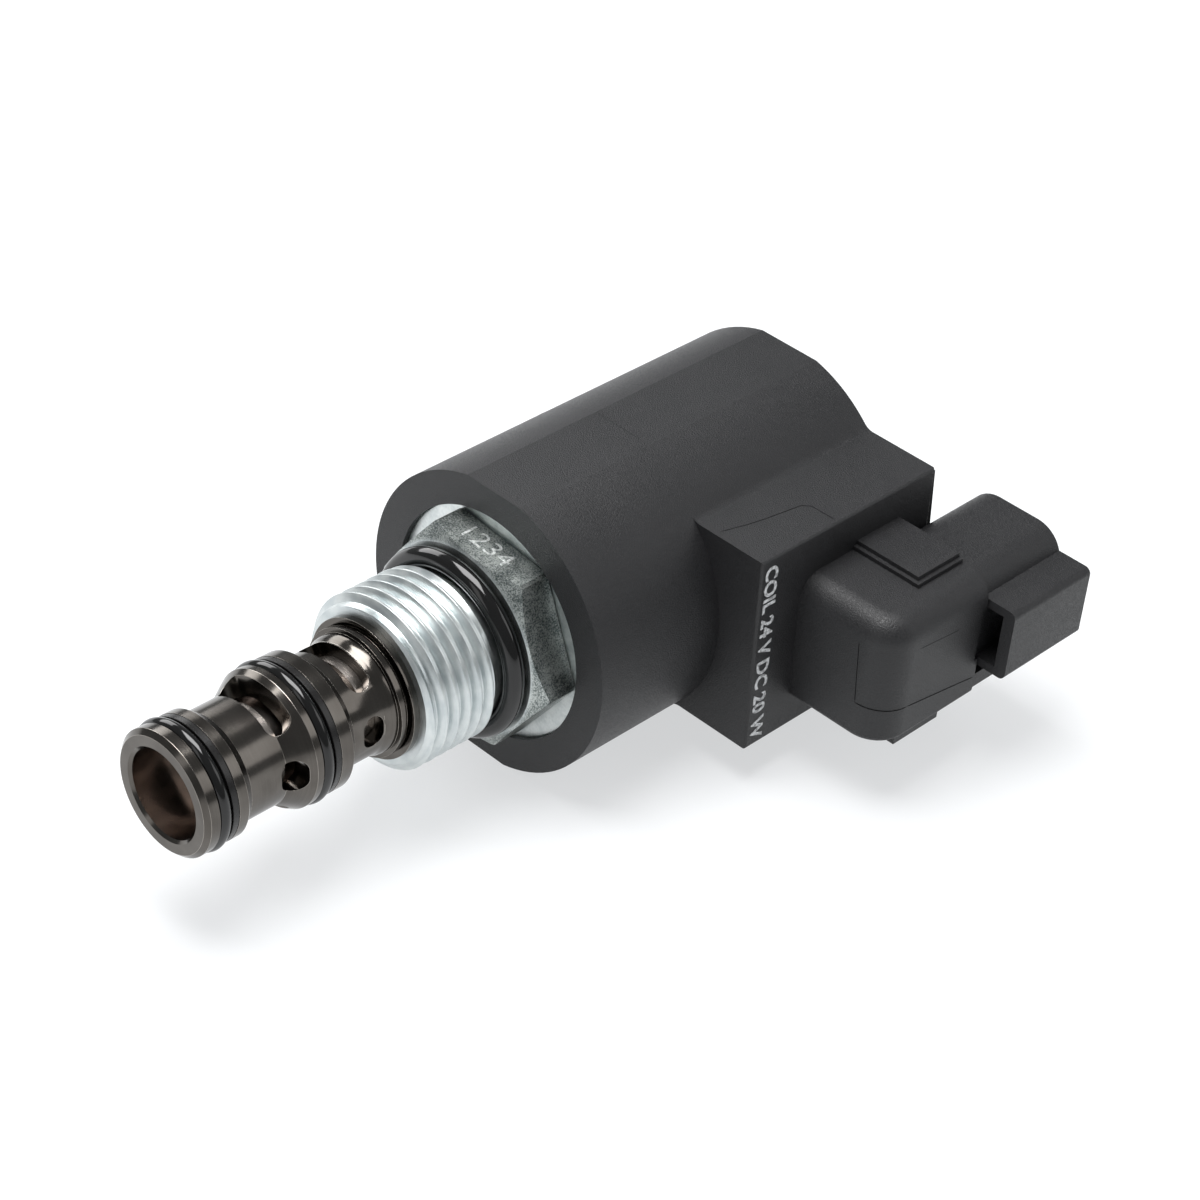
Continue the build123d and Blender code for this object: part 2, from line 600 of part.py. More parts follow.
with BuildPart() as finished_housing:
    add(coil_housing.part)
    add(elbow.part)
    add(shell.part)
    # The core space, its two end mouths, and the pocket that holds the leads.
    ring(flux_front_x - FIT, flux_rear_x + FIT, 0, SHELL_R[1] + FIT, mode=Mode.SUBTRACT)
    ring(COIL_FRONT_X, COIL_REAR_X, 0, RECESS_R, mode=Mode.SUBTRACT)
    block(POCKET_X[0], POCKET_X[1], POCKET_Y[0], POCKET_Y[1], -POCKET_HALF_Z, POCKET_HALF_Z,
          mode=Mode.SUBTRACT)
    for pin_z in (LEAD_Z, -LEAD_Z):
        with BuildLine() as tunnel_path:
            FilletPolyline((LEAD_X, PIN_START_Y, pin_z), (LEAD_X, PIN_Y, pin_z),
                           (PIN_TIP_X, PIN_Y, pin_z), radius=PIN_BEND_R)
        with BuildSketch(Plane(origin=tunnel_path.line @ 0, z_dir=tunnel_path.line % 0)):
            Circle(PIN_TUNNEL_R)
        sweep(mode=Mode.SUBTRACT)
    with BuildSketch(Plane.YZ.offset(SOCKET_FLOOR_X)):
        with Locations((shroud_mid_y, 0)):
            RectangleRounded(shroud_width - 2 * SHROUD_WALL, 2 * (SHROUD_HALF_Z - SHROUD_WALL),
                             SHROUD_CORNER_R - SHROUD_WALL)
    extrude(amount=SHROUD_X[1] - SOCKET_FLOOR_X, mode=Mode.SUBTRACT)
    block(LATCH_X - 1, SHROUD_X[1], LATCH_SLOT_Y[0], LATCH_SLOT_Y[1],
          -LATCH_SLOT_HALF_Z, LATCH_SLOT_HALF_Z, mode=Mode.SUBTRACT)
save(finished_housing, "coil_housing")

# ---- coil nut and its seal -----------------------------------------------------------------------
# A hexagon nut with a round flange that clamps the coil and seals its rear.

NUT_FLATS = 22.2
NUT_FLANGE_R = 13.0
NUT_FLANGE_T = 1.6
NUT_X = (flux_rear_x + FIT, flux_rear_x + 6.5)
NUT_BORE_R = 7.98
NUT_SEAL_POCKET_R = 9.7
NUT_SEAL_POCKET_DEPTH = 1.55
NUT_SEAL_SECTION_R = 0.75
NUT_CHAMFER_R = 11.1
nut_corner_r = NUT_FLATS / math.sqrt(3)

with BuildPart() as coil_nut:
    with BuildSketch(Plane.YZ.offset(NUT_X[0])):
        RegularPolygon(radius=NUT_FLATS / 2, side_count=6, major_radius=False)
    extrude(amount=NUT_X[1] - NUT_X[0])
    turned([
        (NUT_X[0], 0),
        (NUT_X[0], nut_corner_r),
        (NUT_X[1] - (nut_corner_r - NUT_CHAMFER_R) / 2, nut_corner_r),
        (NUT_X[1], NUT_CHAMFER_R),
        (NUT_X[1], 0),
    ], mode=Mode.INTERSECT)
    ring(NUT_X[0], NUT_X[0] + NUT_FLANGE_T, 0, NUT_FLANGE_R)
    ring(NUT_X[0], NUT_X[1], 0, NUT_BORE_R, mode=Mode.SUBTRACT)
    ring(NUT_X[0], NUT_X[0] + NUT_SEAL_POCKET_DEPTH, 0, NUT_SEAL_POCKET_R, mode=Mode.SUBTRACT)
save(coil_nut, "coil_nut")

with BuildPart() as nut_seal:
    o_ring(NUT_X[0] + NUT_SEAL_SECTION_R + FIT, TUBE_R + FIT + NUT_SEAL_SECTION_R + FIT,
           NUT_SEAL_SECTION_R)
save(nut_seal, "nut_o_ring")
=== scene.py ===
import math

import bmesh
import bpy
from mathutils import Matrix, Vector


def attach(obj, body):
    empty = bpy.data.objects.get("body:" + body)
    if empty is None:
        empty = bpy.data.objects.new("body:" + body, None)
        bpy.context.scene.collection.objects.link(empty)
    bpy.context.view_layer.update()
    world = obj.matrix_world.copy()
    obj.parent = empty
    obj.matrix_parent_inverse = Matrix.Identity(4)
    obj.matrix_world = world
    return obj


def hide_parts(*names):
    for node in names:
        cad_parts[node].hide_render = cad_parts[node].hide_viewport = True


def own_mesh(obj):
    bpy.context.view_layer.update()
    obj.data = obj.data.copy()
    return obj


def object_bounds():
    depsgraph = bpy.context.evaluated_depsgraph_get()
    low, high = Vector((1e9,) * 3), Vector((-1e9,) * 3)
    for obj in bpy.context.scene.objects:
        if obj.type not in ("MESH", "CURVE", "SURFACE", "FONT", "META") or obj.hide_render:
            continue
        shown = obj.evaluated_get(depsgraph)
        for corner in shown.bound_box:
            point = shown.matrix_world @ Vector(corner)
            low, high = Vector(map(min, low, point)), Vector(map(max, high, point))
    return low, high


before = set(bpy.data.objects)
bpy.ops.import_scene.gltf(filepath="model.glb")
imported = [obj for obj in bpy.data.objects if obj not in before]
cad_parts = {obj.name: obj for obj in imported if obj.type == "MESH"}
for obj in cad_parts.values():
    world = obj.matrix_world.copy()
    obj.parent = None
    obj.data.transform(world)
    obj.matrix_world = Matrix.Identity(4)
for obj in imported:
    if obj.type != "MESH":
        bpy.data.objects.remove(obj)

frame_box = [list(corner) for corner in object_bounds()]
MM = 0.001

# The view: a long lens looks down over the nose of the valve from the connector's side,
# and leans a little. Axis of the valve along X, connector towards -Y.
LOOK_TURN, LOOK_DOWN, LEAN = math.radians(-48.348), math.radians(36.553), math.radians(5.332)
LOOK_FROM = Vector((-206.668, -205.746, 223.427)) * MM
LENS, SENSOR = 92.938, 36.0

back = Vector((math.sin(LOOK_TURN) * math.cos(LOOK_DOWN), -math.cos(LOOK_TURN) * math.cos(LOOK_DOWN),
               math.sin(LOOK_DOWN)))
level_right = Vector((math.cos(LOOK_TURN), math.sin(LOOK_TURN), 0))
level_up = back.cross(level_right)
right = math.cos(LEAN) * level_right + math.sin(LEAN) * level_up
up = math.cos(LEAN) * level_up - math.sin(LEAN) * level_right
camera_data = bpy.data.cameras.new("view")
camera_data.lens, camera_data.sensor_width = LENS, SENSOR
camera_data.clip_start, camera_data.clip_end = 0.01, 20
camera = bpy.data.objects.new("view", camera_data)
camera.matrix_world = Matrix.Translation(LOOK_FROM) @ Matrix((right, up, back)).transposed().to_4x4()
bpy.context.scene.collection.objects.link(camera)
bpy.context.scene.camera = camera
bpy.context.scene.view_settings.view_transform = "Standard"

# The studio: a white sweep under the valve, a soft box overhead and weaker ones behind on the
# left, beside the nose and on the connector's side, in a grey room.
LIGHTS = (  # name, place, aims at, width, height, brightness
    ("overhead", (-0.02, 0.06, 0.42), (0.01, 0.0, 0.0), 0.30, 0.30, 10.0),
    ("behind_left", (0.06, 0.50, 0.26), (0.01, 0.0, 0.0), 0.40, 0.26, 4.4),
    ("nose_side", (-0.50, 0.02, 0.30), (-0.01, 0.0, 0.0), 0.14, 0.42, 1.0),
    ("connector_side", (0.26, -0.29, 0.24), (-0.02, 0.0, 0.0), 0.30, 0.24, 1.5),
)
ROOM_COLOUR, ROOM_BRIGHTNESS = (0.95, 0.98, 1.0, 1), 0.25
FLOOR_Z = frame_box[0][2] - 0.01 * MM
FLOOR_HALF = 1.6
for name, place, aim, width, height, brightness in LIGHTS:
    lamp = bpy.data.lights.new(name, "AREA")
    lamp.shape, lamp.size, lamp.size_y = "RECTANGLE", width, height
    lamp.energy = brightness * math.pi * width * height
    holder = bpy.data.objects.new(name, lamp)
    holder.location = place
    holder.rotation_euler = (Vector(aim) - Vector(place)).to_track_quat("-Z", "Y").to_euler()
    bpy.context.scene.collection.objects.link(holder)
room = bpy.data.worlds.new("grey_room")
room.use_nodes = True
room.node_tree.nodes["Background"].inputs["Color"].default_value = ROOM_COLOUR
room.node_tree.nodes["Background"].inputs["Strength"].default_value = ROOM_BRIGHTNESS
bpy.context.scene.world = room


class Grain:
    """What changes over a surface: one output socket, which + and * turn into nodes."""

    tree = None

    def __init__(self, socket):
        self.socket = socket

    @classmethod
    def node(cls, kind, settings=None, sockets=None, out=0):
        """An output of a new node. Its settings are set before its sockets."""
        made = cls.tree.nodes.new("ShaderNode" + kind)
        for key, value in (settings or {}).items():
            setattr(made, key, value)
        for key, value in (sockets or {}).items():
            if isinstance(value, Grain):
                cls.tree.links.new(value.socket, made.inputs[key])
            elif isinstance(value, tuple) and made.inputs[key].type == "RGBA":
                made.inputs[key].default_value = (*value, 1)
            else:
                made.inputs[key].default_value = value
        return cls(made.outputs[out])

    @classmethod
    def maths(cls, operation, *values):
        return cls.node("Math", {"operation": operation}, dict(enumerate(values)))

    def __add__(self, other):
        return Grain.maths("ADD", self, other)

    def __mul__(self, other):
        return Grain.maths("MULTIPLY", self, other)

    __radd__, __rmul__ = __add__, __mul__

    def blend(self, low, high):
        """Colour low where this is 0 and high where it is 1."""
        return Grain.node("Mix", {"data_type": "RGBA", "clamp_factor": True}, {0: self, 6: low, 7: high}, 2)

    def between(self, low, high):
        """0 below low, 1 above high, smooth between them."""
        return Grain.node("MapRange", {"interpolation_type": "SMOOTHSTEP"}, {0: self, 1: low, 2: high})


def place():
    """The point on the piece, in metres."""
    return Grain.node("TexCoord", out=3)


def stretched(scale):
    """The point on the piece, multiplied axis by axis."""
    return Grain.node("VectorMath", {"operation": "MULTIPLY"}, {0: place(), 1: scale})


def mottle(scale, detail=3.0, where=None):
    """Soft random patches, scale of them to a metre."""
    return Grain.node("TexNoise", {},
                      {"Vector": where or place(), "Scale": scale, "Detail": detail, "Roughness": 0.5})


def ridged(height, depth):
    """The surface's direction once it is raised by height, at most depth metres."""
    return Grain.node("Bump", {}, {"Height": height, "Distance": depth, "Strength": 1.0})


def material(name, recipe):
    """A material from a recipe, a function that gives the values of the shader's sockets."""
    made = bpy.data.materials.new(name)
    made.use_nodes = True
    tree = Grain.tree = made.node_tree
    tree.nodes.clear()
    shader = tree.nodes.new("ShaderNodeBsdfPrincipled")
    output = tree.nodes.new("ShaderNodeOutputMaterial")
    tree.links.new(shader.outputs[0], output.inputs[0])
    for key, value in recipe().items():
        if isinstance(value, Grain):
            tree.links.new(value.socket, shader.inputs[key])
        elif isinstance(value, tuple):
            shader.inputs[key].default_value = (*value, 1)
        else:
            shader.inputs[key].default_value = value
    return made


def white_sweep():
    """Back-lit paper, so that shadows on it stay pale."""
    paper = mottle(40.0)
    return {"Base Color": paper.blend((0.34, 0.345, 0.35), (0.36, 0.365, 0.37)), "Roughness": 0.9,
            "Specular IOR Level": 0.1, "Emission Color": paper.blend((0.97, 0.985, 1.0), (0.98, 0.99, 1.0)),
            "Emission Strength": 0.62}


floor_mesh = bmesh.new()
bmesh.ops.create_grid(floor_mesh, x_segments=8, y_segments=8, size=FLOOR_HALF)
floor_data = bpy.data.meshes.new("floor")
floor_mesh.to_mesh(floor_data)
floor_mesh.free()
floor = bpy.data.objects.new("floor", floor_data)
floor.location.z = FLOOR_Z
floor_data.materials.append(material("white_sweep", white_sweep))
bpy.context.scene.collection.objects.link(floor)

# Valve cage: the hydraulic end of the cartridge, turned from free-cutting steel and blackened.
# Two rows of ports are milled through it, its lands carry the seals, and its tail is screwed into
# the adapter.
SHARP_TURN = 25      # degrees between two faces
FLAT_TURN = math.radians(0.4)


def sharp_above(mesh, degrees):
    """Marks the edges that turn by more than that as sharp, and the rest as smooth."""
    limit = math.radians(degrees)
    for face in mesh.faces:
        face.smooth = True
    for edge in mesh.edges:
        edge.smooth = not (len(edge.link_faces) == 2 and edge.calc_face_angle(0) > limit)


def piece(name, mesh, body, materials, stands_for=(), sharp=32):
    """A new piece from a bmesh, which rides on that body."""
    bmesh.ops.remove_doubles(mesh, verts=mesh.verts, dist=1e-7)
    bmesh.ops.recalc_face_normals(mesh, faces=mesh.faces)
    sharp_above(mesh, sharp)
    data = bpy.data.meshes.new(name)
    mesh.to_mesh(data)
    mesh.free()
    for one in materials:
        data.materials.append(one)
    made = bpy.data.objects.new(name, data)
    bpy.context.scene.collection.objects.link(made)
    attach(made, body)
    if stands_for:
        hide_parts(*stands_for)
    return made


def dressed(node, name, body, materials, edge, edge_slot=0, kept=None, creased=None):
    """A piece with the CAD node's shape, whose sharp edges are broken, apart from those at kept places.
    The shallow edges at creased places stay crisp."""
    mesh = bmesh.new()
    mesh.from_mesh(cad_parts[node].data)
    bmesh.ops.remove_doubles(mesh, verts=mesh.verts, dist=1e-6)
    lines = [line for line in mesh.edges if not (kept and kept((line.verts[0].co + line.verts[1].co) / 2))]
    bmesh.ops.dissolve_limit(mesh, angle_limit=FLAT_TURN, verts=[] if kept else mesh.verts, edges=lines)
    made = piece(name, mesh, body, materials, (node,), SHARP_TURN)
    bevel = made.modifiers.new("broken_edges", "BEVEL")
    bevel.width, bevel.segments, bevel.limit_method = edge, 2, "WEIGHT"
    bevel.use_clamp_overlap, bevel.material = True, edge_slot
    points = made.data.vertices
    weights = made.data.attributes.new("bevel_weight_edge", "FLOAT", "EDGE")
    for line, weight in zip(made.data.edges, weights.data):
        middle = (points[line.vertices[0]].co + points[line.vertices[1]].co) / 2
        line.use_edge_sharp = line.use_edge_sharp or bool(creased and creased(middle))
        weight.value = float(line.use_edge_sharp and not (kept and kept(middle)))
    return made


def turned_lines(pitch):
    """The lines that the tool leaves round a turned piece."""
    return mottle(1.0, 2.0, stretched((1 / pitch, 40.0, 40.0)))


def blackened_steel():
    lines, patches, oil = turned_lines(0.16 * MM), mottle(240.0), mottle(70.0, 4.0)
    film = (lines * 0.25 + patches * 0.75).between(0.3, 0.7)
    return {"Base Color": film.blend((0.088, 0.080, 0.072), (0.128, 0.118, 0.107)), "Metallic": 1.0,
            "Roughness": oil * 0.16 + lines * 0.05 + 0.06, "Normal": ridged(lines, 0.0009 * MM)}


# The broken edges of the cage get a lighter steel colour than its faces: a painted highlight along the edges.
def bright_edge():
    edge_highlight_mottle = mottle(900.0)
    return {"Base Color": edge_highlight_mottle.blend((0.24, 0.22, 0.20), (0.42, 0.395, 0.36)), "Metallic": 1.0,
            "Roughness": edge_highlight_mottle * 0.2 + 0.16}


def honed_bore():
    oil = mottle(300.0, 4.0)
    return {"Base Color": oil.blend((0.36, 0.31, 0.28), (0.54, 0.47, 0.43)), "Metallic": 1.0,
            "Roughness": oil * 0.16 + 0.12}


CAGE_BORE_R, CAGE_MOUTH_R = 5.6 * MM, 6.1 * MM
black_steel = material("blackened_steel", blackened_steel)
edge_steel = material("painted_edge_highlight", bright_edge)
cage = dressed("valve_cage", "valve_cage_blackened", "valve_body",
               [black_steel, edge_steel, material("honed_bore", honed_bore)], edge=0.09 * MM, edge_slot=1,
               kept=lambda at: math.hypot(at.y, at.z) < CAGE_MOUTH_R)
for face in cage.data.polygons:
    corners = [cage.data.vertices[i].co for i in face.vertices]
    if all(math.hypot(c.y, c.z) < CAGE_BORE_R + 0.03 * MM for c in corners):
        face.material_index = 2


# Seals of the two lands: nitrile O-rings that lie in their grooves, each with a hard backup ring of
# filled PTFE behind it.
def nitrile():
    bloom = mottle(420.0)
    return {"Base Color": bloom.blend((0.003, 0.003, 0.003), (0.006, 0.006, 0.006)),
            "Roughness": bloom * 0.08 + 0.05}


FLASH = 0.012 * MM
LAND_SECTION_R = 0.85 * MM
NOSE_GROOVE_X, NOSE_GROOVE_R = -41.73 * MM, 7.32 * MM
MIDDLE_GROOVE_X, MIDDLE_GROOVE_R = -27.53 * MM, 8.10 * MM


def ring_of_rubber(node, x, radius, section, body):
    """A moulded ring, with the thin flash line of its mould round its outside and inside."""
    around, across = 192, 32
    mesh = bmesh.new()
    rows = []
    for j in range(around):
        a = 2 * math.pi * j / around
        row = []
        for i in range(across):
            b = 2 * math.pi * i / across
            swell = section + (FLASH if i in (0, across // 2) else 0)
            r = radius + swell * math.cos(b)
            row.append(mesh.verts.new((x + swell * math.sin(b), r * math.sin(a), r * math.cos(a))))
        rows.append(row)
    for j in range(around):
        one, two = rows[j], rows[(j + 1) % around]
        for i in range(across):
            k = (i + 1) % across
            mesh.faces.new((one[i], one[k], two[k], two[i]))
    return piece(node + "_moulded", mesh, body, [rubber], (node,), sharp=60)


rubber = material("nitrile_rubber", nitrile)
ring_of_rubber("nose_o_ring", NOSE_GROOVE_X, NOSE_GROOVE_R, LAND_SECTION_R, "valve_body")
ring_of_rubber("middle_o_ring", MIDDLE_GROOVE_X, MIDDLE_GROOVE_R, LAND_SECTION_R, "valve_body")


def filled_ptfe():
    return {"Base Color": mottle(900.0).blend((0.007, 0.007, 0.007), (0.014, 0.013, 0.013)),
            "Roughness": mottle(1200.0) * 0.15 + 0.2, "Specular IOR Level": 0.35}


backup = material("filled_ptfe", filled_ptfe)
for node in ("nose_backup_ring", "middle_backup_ring"):
    dressed(node, node + "_cut", "valve_body", [backup], edge=0.06 * MM)

# Threaded adapter: turned and milled from hexagon bar, 7/8-14 thread, zinc plated and passivated.
# The thread is rolled with a lead-in, and the neck behind it holds the port seal against the hexagon.
PITCH = 25.4 / 14 * MM
CREST_R, THREAD_DEPTH = 11.07 * MM, 1.0 * MM
THREAD_X, THREAD_END_X, LEAD_IN, LEAD_R = -14.2 * MM, -3.0 * MM, 0.8 * MM, 9.95 * MM
NECK_R, BORE_R = 9.65 * MM, 8.1 * MM
HEX_FACE_R, HEX_FLAT_R, HEX_CORNER_R, HEX_END_X = 12.4 * MM, 12.7 * MM, 14.52 * MM, 5.55 * MM
HEX_TURN, HEX_STEP = math.radians(6.0), math.pi / 3
SMALL_CORNER = 0.15 * MM
END_CHAMFER = 0.2 * MM
RUN_OUT_SLOPE = 1.6
COLUMNS_A_TURN = 360
# Half of the thread's profile, from the middle of a crest: share of the pitch, share of the depth.
HALF_PROFILE = ((0.0, 0.0), (0.045, 0.0), (0.062, 0.008), (0.080, 0.035),
                (0.355, 0.955), (0.385, 0.99), (0.42, 1.0), (0.5, 1.0))


def thread_columns(pitch, crest, depth, start, end, limit):
    """Columns of points (x, radius, angle) of a right-hand thread, whose radius limit(x) keeps at most.
    The last column stands at the first one's angle, a whole turn later."""
    profile = [(-share, fall) for share, fall in HALF_PROFILE[:0:-1]][1:] + list(HALF_PROFILE)
    columns = []
    for j in range(COLUMNS_A_TURN + 1):
        a = 2 * math.pi * j / COLUMNS_A_TURN
        column = []
        for k in range(-1, int((end - start) / pitch) + 4):
            for share, fall in profile:
                x = min(max(start + (k + share - j / COLUMNS_A_TURN) * pitch, start), end)
                column.append((x, min(crest - depth * fall, limit(x)), a))
        columns.append(column)
    return columns


def skin(mesh, columns):
    """Faces between each column of (x, radius, angle) and the next."""
    made = [[mesh.verts.new((x, r * math.sin(a), r * math.cos(a))) for x, r, a in column] for column in columns]
    for one, two in zip(made, made[1:]):
        for i in range(len(one) - 1):
            mesh.faces.new((one[i], one[i + 1], two[i + 1], two[i]))


def lead_in(x):
    """The radius that the chamfers at the thread's two ends leave at x."""
    return min(LEAD_R + (x - THREAD_X) / LEAD_IN * (CREST_R - LEAD_R),
               NECK_R + (THREAD_END_X - x) * RUN_OUT_SLOPE + SMALL_CORNER)


adapter_mesh = bmesh.new()
columns = []
for column in thread_columns(PITCH, CREST_R, THREAD_DEPTH, THREAD_X, THREAD_END_X, lead_in):
    a = column[0][2]
    flat = min(HEX_FLAT_R / math.cos((a + HEX_TURN + HEX_STEP / 2) % HEX_STEP - HEX_STEP / 2), HEX_CORNER_R)
    chamfer = max(0.0, (flat - HEX_FACE_R) * math.tan(math.pi / 6))
    mouth = [(THREAD_X, BORE_R, a), (THREAD_X, LEAD_R - SMALL_CORNER, a)]
    neck = [(THREAD_END_X, NECK_R, a), (-SMALL_CORNER, NECK_R, a), (0, NECK_R + SMALL_CORNER, a)]
    hexagon = [(0, HEX_FACE_R, a), (chamfer, flat, a), (HEX_END_X - END_CHAMFER, flat, a),
               (HEX_END_X, flat - END_CHAMFER, a), (HEX_END_X, BORE_R, a)]
    columns.append(mouth + column + neck + hexagon)
skin(adapter_mesh, columns)


def zinc_plate():
    """Bright and faintly blue where it was turned, and grained on the hexagon, which was left as drawn. There the
    colour is also darker, a painted dark reflection of the flats.
    """
    sparkle, patches = mottle(5200.0, 3.0), mottle(420.0, 4.0)
    streaks = mottle(1.0, 3.0, stretched((3600.0, 300.0, 300.0)))
    hexagon = Grain.node("SeparateXYZ", {}, {"Vector": place()}).between(-0.2 * MM, 0.3 * MM)
    colour = (patches * 0.6 + streaks * 0.4).between(0.3, 0.7).blend((0.50, 0.545, 0.555), (0.70, 0.735, 0.73))
    # Hexagon colour: the real grain of the drawn surface, darkened as a painted dark reflection of the flats.
    hex_grain_and_painted_shade = (sparkle * 0.65 + patches * 0.35).between(0.36, 0.64).blend((0.11, 0.13, 0.128), (0.50, 0.53, 0.51))
    return {"Base Color": Grain.node("Mix", {"data_type": "RGBA"}, {0: hexagon, 6: colour, 7: hex_grain_and_painted_shade}, 2),
            "Metallic": 1.0, "Roughness": patches * 0.16 + streaks * 0.12 + 0.24,
            "Normal": ridged(sparkle * hexagon + streaks * 0.25, 0.03 * MM)}


zinc = material("zinc_plate", zinc_plate)
piece("threaded_adapter_cut", adapter_mesh, "valve_body", [zinc], ("threaded_adapter",), sharp=28)
PORT_RING_X, PORT_RING_R, PORT_SECTION_R = -1.32 * MM, 10.97 * MM, 1.3 * MM
ring_of_rubber("port_o_ring", PORT_RING_X, PORT_RING_R, PORT_SECTION_R, "valve_body")


# Marks on the adapter: four figures, struck into one flat of the hexagon by hand before plating.
def struck():
    # The figures' near-white colour is a painted highlight on the burrs of the strokes.
    painted_burr_highlight = mottle(2600.0)
    return {"Base Color": painted_burr_highlight.between(0.35, 0.6).blend((0.55, 0.58, 0.57), (0.95, 0.97, 0.96)),
            "Metallic": 1.0, "Roughness": painted_burr_highlight * 0.2 + 0.3}


def lettering(name, words, size, proud, origin, along, upright, body, look, weight, narrow):
    """Words as a thin mesh: they run along one direction and stand up along another."""
    curve = bpy.data.curves.new(name, "FONT")
    curve.body, curve.size, curve.offset, curve.extrude = words, size, weight, proud
    curve.resolution_u = 3
    holder = bpy.data.objects.new(name, curve)
    bpy.context.scene.collection.objects.link(holder)
    bpy.context.view_layer.update()
    data = bpy.data.meshes.new_from_object(holder)
    bpy.data.objects.remove(holder)
    along, upright = Vector(along).normalized(), Vector(upright).normalized()
    turn = Matrix((along, upright, along.cross(upright))).transposed().to_4x4()
    data.transform(Matrix.Translation(origin) @ turn @ Matrix.Diagonal((narrow, 1, 1, 1)))
    mesh = bmesh.new()
    mesh.from_mesh(data)
    bpy.data.meshes.remove(data)
    return piece(name, mesh, body, [look])


FLAT_ANGLE = math.radians(90.0) - HEX_TURN     # of the marked flat's normal, from -Y towards +Z
FIGURE_HEIGHT, FIGURES_FOOT_X, FIGURES_HALF_WIDTH = 3.6 * MM, 1.9 * MM, 4.6 * MM
flat_out = Vector((0, -math.cos(FLAT_ANGLE), math.sin(FLAT_ANGLE)))
flat_along = Vector((0, -math.sin(FLAT_ANGLE), -math.cos(FLAT_ANGLE)))
figures_at = Vector((FIGURES_FOOT_X, 0, 0)) + flat_out * HEX_FLAT_R - flat_along * FIGURES_HALF_WIDTH
lettering("adapter_figures", "1234", FIGURE_HEIGHT, 0.06 * MM, figures_at, flat_along, (1, 0, 0), "valve_body",
          material("struck_figures", struck), weight=-0.03 * MM, narrow=1.15)


# Spool: a hollow ground steel piston in the bore of the cage, with a long groove that joins the ports
# and a cross hole. Its tail hangs on the T-head of the link rod.
def ground_steel():
    lines, patches = turned_lines(0.05 * MM), mottle(300.0)
    return {"Base Color": patches.blend((0.42, 0.38, 0.35), (0.58, 0.53, 0.49)), "Metallic": 1.0,
            "Roughness": lines * 0.1 + patches * 0.1 + 0.14, "Normal": ridged(lines, 0.0008 * MM)}


ground = material("ground_steel", ground_steel)
dressed("spool", "spool_ground", "moving_spool", [ground], edge=0.06 * MM)
dressed("link_rod", "link_rod_turned", "moving_armature", [ground], edge=0.1 * MM)


# Armature, pole piece and guide tube: soft iron at both ends of a drawn stainless tube, which is
# brazed into the adapter and welded to the pole piece. A brass shim keeps the two irons apart.
def soft_iron():
    lines, patches = turned_lines(0.1 * MM), mottle(200.0, 4.0)
    return {"Base Color": (lines * 0.3 + patches * 0.7).blend((0.34, 0.34, 0.34), (0.60, 0.60, 0.59)),
            "Metallic": 1.0, "Roughness": patches * 0.2 + lines * 0.1 + 0.2, "Normal": ridged(lines, 0.0015 * MM)}


def drawn_stainless():
    scratches = mottle(1.0, 3.0, stretched((120.0, 6000.0, 6000.0)))
    return {"Base Color": scratches.blend((0.50, 0.50, 0.50), (0.66, 0.66, 0.65)), "Metallic": 1.0,
            "Roughness": scratches * 0.2 + 0.16, "Normal": ridged(scratches, 0.001 * MM)}


def rolled_brass():
    patches = mottle(600.0)
    return {"Base Color": patches.blend((0.62, 0.44, 0.18), (0.78, 0.60, 0.30)), "Metallic": 1.0,
            "Roughness": patches * 0.2 + 0.2}


def skinned(node, look):
    """A CAD node that stays, with its material."""
    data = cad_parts[node].data
    data.materials.clear()
    data.materials.append(look)


iron = material("soft_iron", soft_iron)
dressed("armature", "armature_turned", "moving_armature", [iron], edge=0.1 * MM)
dressed("pole_piece", "pole_piece_turned", "valve_body", [iron], edge=0.12 * MM)
skinned("guide_tube", material("drawn_stainless", drawn_stainless))
skinned("anti_stick_shim", material("rolled_brass", rolled_brass))


# Return spring: wound from hard drawn wire, right-handed. It stands between the armature's
# bore and the pole piece. In the valve it shortens as the armature is drawn in; here it is one
# wound shape that rides on the valve body.
def spring_wire():
    drawn = mottle(2200.0)
    return {"Base Color": drawn.blend((0.26, 0.26, 0.28), (0.44, 0.44, 0.46)), "Metallic": 1.0,
            "Roughness": drawn * 0.2 + 0.2}


SPRING_FROM, SPRING_TO, SPRING_R, WIRE_R, TURNS = 11.62 * MM, 30.78 * MM, 2.6 * MM, 0.4 * MM, 8
STEPS, WIRE_SIDES = TURNS * 40, 12
spring_length = SPRING_TO - SPRING_FROM
rise = spring_length / (2 * math.pi * TURNS)
spring_mesh = bmesh.new()
loops = []
for j in range(STEPS + 1):
    share = j / STEPS
    a = 2 * math.pi * TURNS * share
    centre = Vector((SPRING_FROM + share * spring_length, SPRING_R * math.cos(a), SPRING_R * math.sin(a)))
    outward = Vector((0, math.cos(a), math.sin(a)))
    forward = Vector((rise, -SPRING_R * math.sin(a), SPRING_R * math.cos(a))).normalized()
    across = forward.cross(outward)
    loops.append([spring_mesh.verts.new(centre + WIRE_R * (math.cos(b) * outward + math.sin(b) * across))
                  for b in (2 * math.pi * i / WIRE_SIDES for i in range(WIRE_SIDES))])
for one, two in zip(loops, loops[1:]):
    for i in range(WIRE_SIDES):
        k = (i + 1) % WIRE_SIDES
        spring_mesh.faces.new((one[i], one[k], two[k], two[i]))
for end in (loops[0], loops[-1]):
    spring_mesh.faces.new(end)
spring = piece("return_spring_wound", spring_mesh, "valve_body",
               [material("spring_wire", spring_wire)], ("return_spring",), sharp=50)
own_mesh(spring)


